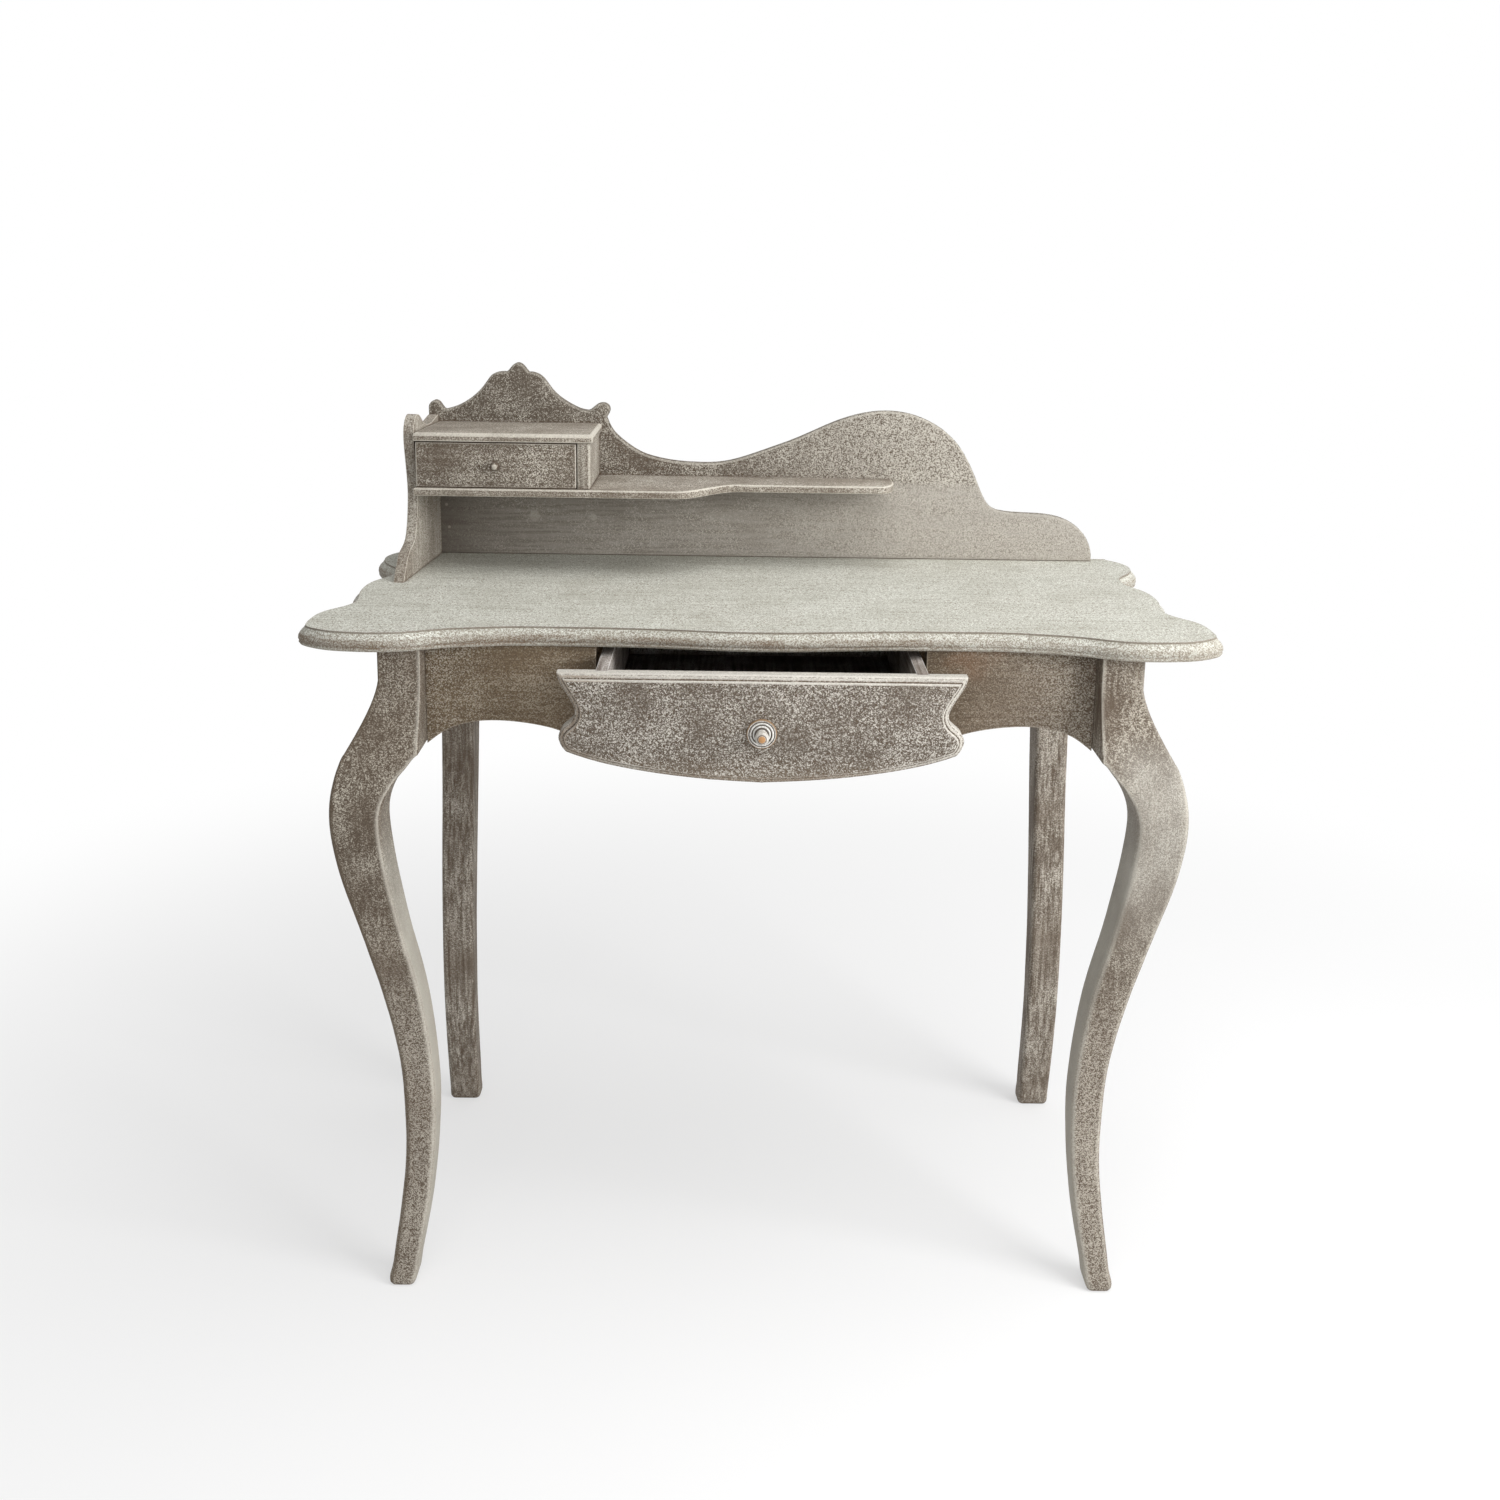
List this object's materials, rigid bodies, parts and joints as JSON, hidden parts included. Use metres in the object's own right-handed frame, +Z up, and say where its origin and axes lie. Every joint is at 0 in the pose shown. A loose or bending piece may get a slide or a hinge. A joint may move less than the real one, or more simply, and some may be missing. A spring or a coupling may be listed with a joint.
{
  "type": "bonheur du jour writing desk",
  "caption": "Small lady's writing desk with serpentine top, cabriole legs, scalloped aprons, a scalloped drawer and a shaped gallery with a shelf and a little drawer box.",
  "frame": {"origin": "on the floor, under the middle of the whole desk as it stands with its drawer partly open", "axes": "+X to the desk's right as seen from the front, +Y to the back, +Z up"},
  "size_m": [1.0004, 0.521, 1.022],
  "materials": {
    "painted_wood": "grey wash, worn matt",
    "bare_wood": "bare, sawn",
    "drawer_wood": "thin grey wash",
    "knob_wood": "worn brown",
    "steel": "dull"
  },
  "bodies": {
    "case": {"desktop": "painted_wood", "front_leg_left": "painted_wood", "front_leg_right": "painted_wood", "rear_leg_left": "painted_wood", "rear_leg_right": "painted_wood", "front_apron_left": "painted_wood", "front_apron_right": "painted_wood", "side_apron_left": "painted_wood", "side_apron_right": "painted_wood", "rear_apron": "painted_wood", "lower_drawer_rail": "bare_wood", "rail_dowels": "bare_wood", "drawer_runner_left": "bare_wood", "drawer_runner_right": "bare_wood", "drawer_kicker_left": "bare_wood", "drawer_kicker_right": "bare_wood", "corner_block_front_left": "bare_wood", "corner_block_front_right": "bare_wood", "corner_block_rear_left": "bare_wood", "corner_block_rear_right": "bare_wood", "top_fixing_screws": "steel", "corner_block_screws": "steel", "gallery_backboard": "painted_wood", "gallery_side_panel": "painted_wood", "gallery_shelf": "painted_wood", "box_side": "painted_wood", "box_top": "painted_wood", "gallery_screws": "steel", "gallery_nails": "steel"},
    "drawer": {"drawer_front": "painted_wood", "drawer_side_left": "drawer_wood", "drawer_side_right": "drawer_wood", "drawer_back": "drawer_wood", "drawer_bottom": "drawer_wood", "drawer_nails": "steel", "knob_rosette": "painted_wood", "drawer_knob": "knob_wood", "knob_screw": "steel"},
    "small_drawer": {"small_drawer_front": "painted_wood", "small_drawer_side_left": "drawer_wood", "small_drawer_side_right": "drawer_wood", "small_drawer_back": "drawer_wood", "small_drawer_bottom": "drawer_wood", "small_drawer_knob": "painted_wood", "small_knob_screw": "steel", "small_drawer_nails": "steel"}
  },
  "joints": [
    {"name": "drawer_slide", "type": "slide", "parent": "case", "child": "drawer", "axis": [0, -1, 0], "range_m": [-0.059, 0.19]},
    {"name": "small_drawer_slide", "type": "slide", "parent": "case", "child": "small_drawer", "axis": [0, -1, 0], "range_m": [0, 0.085]}
  ]
}
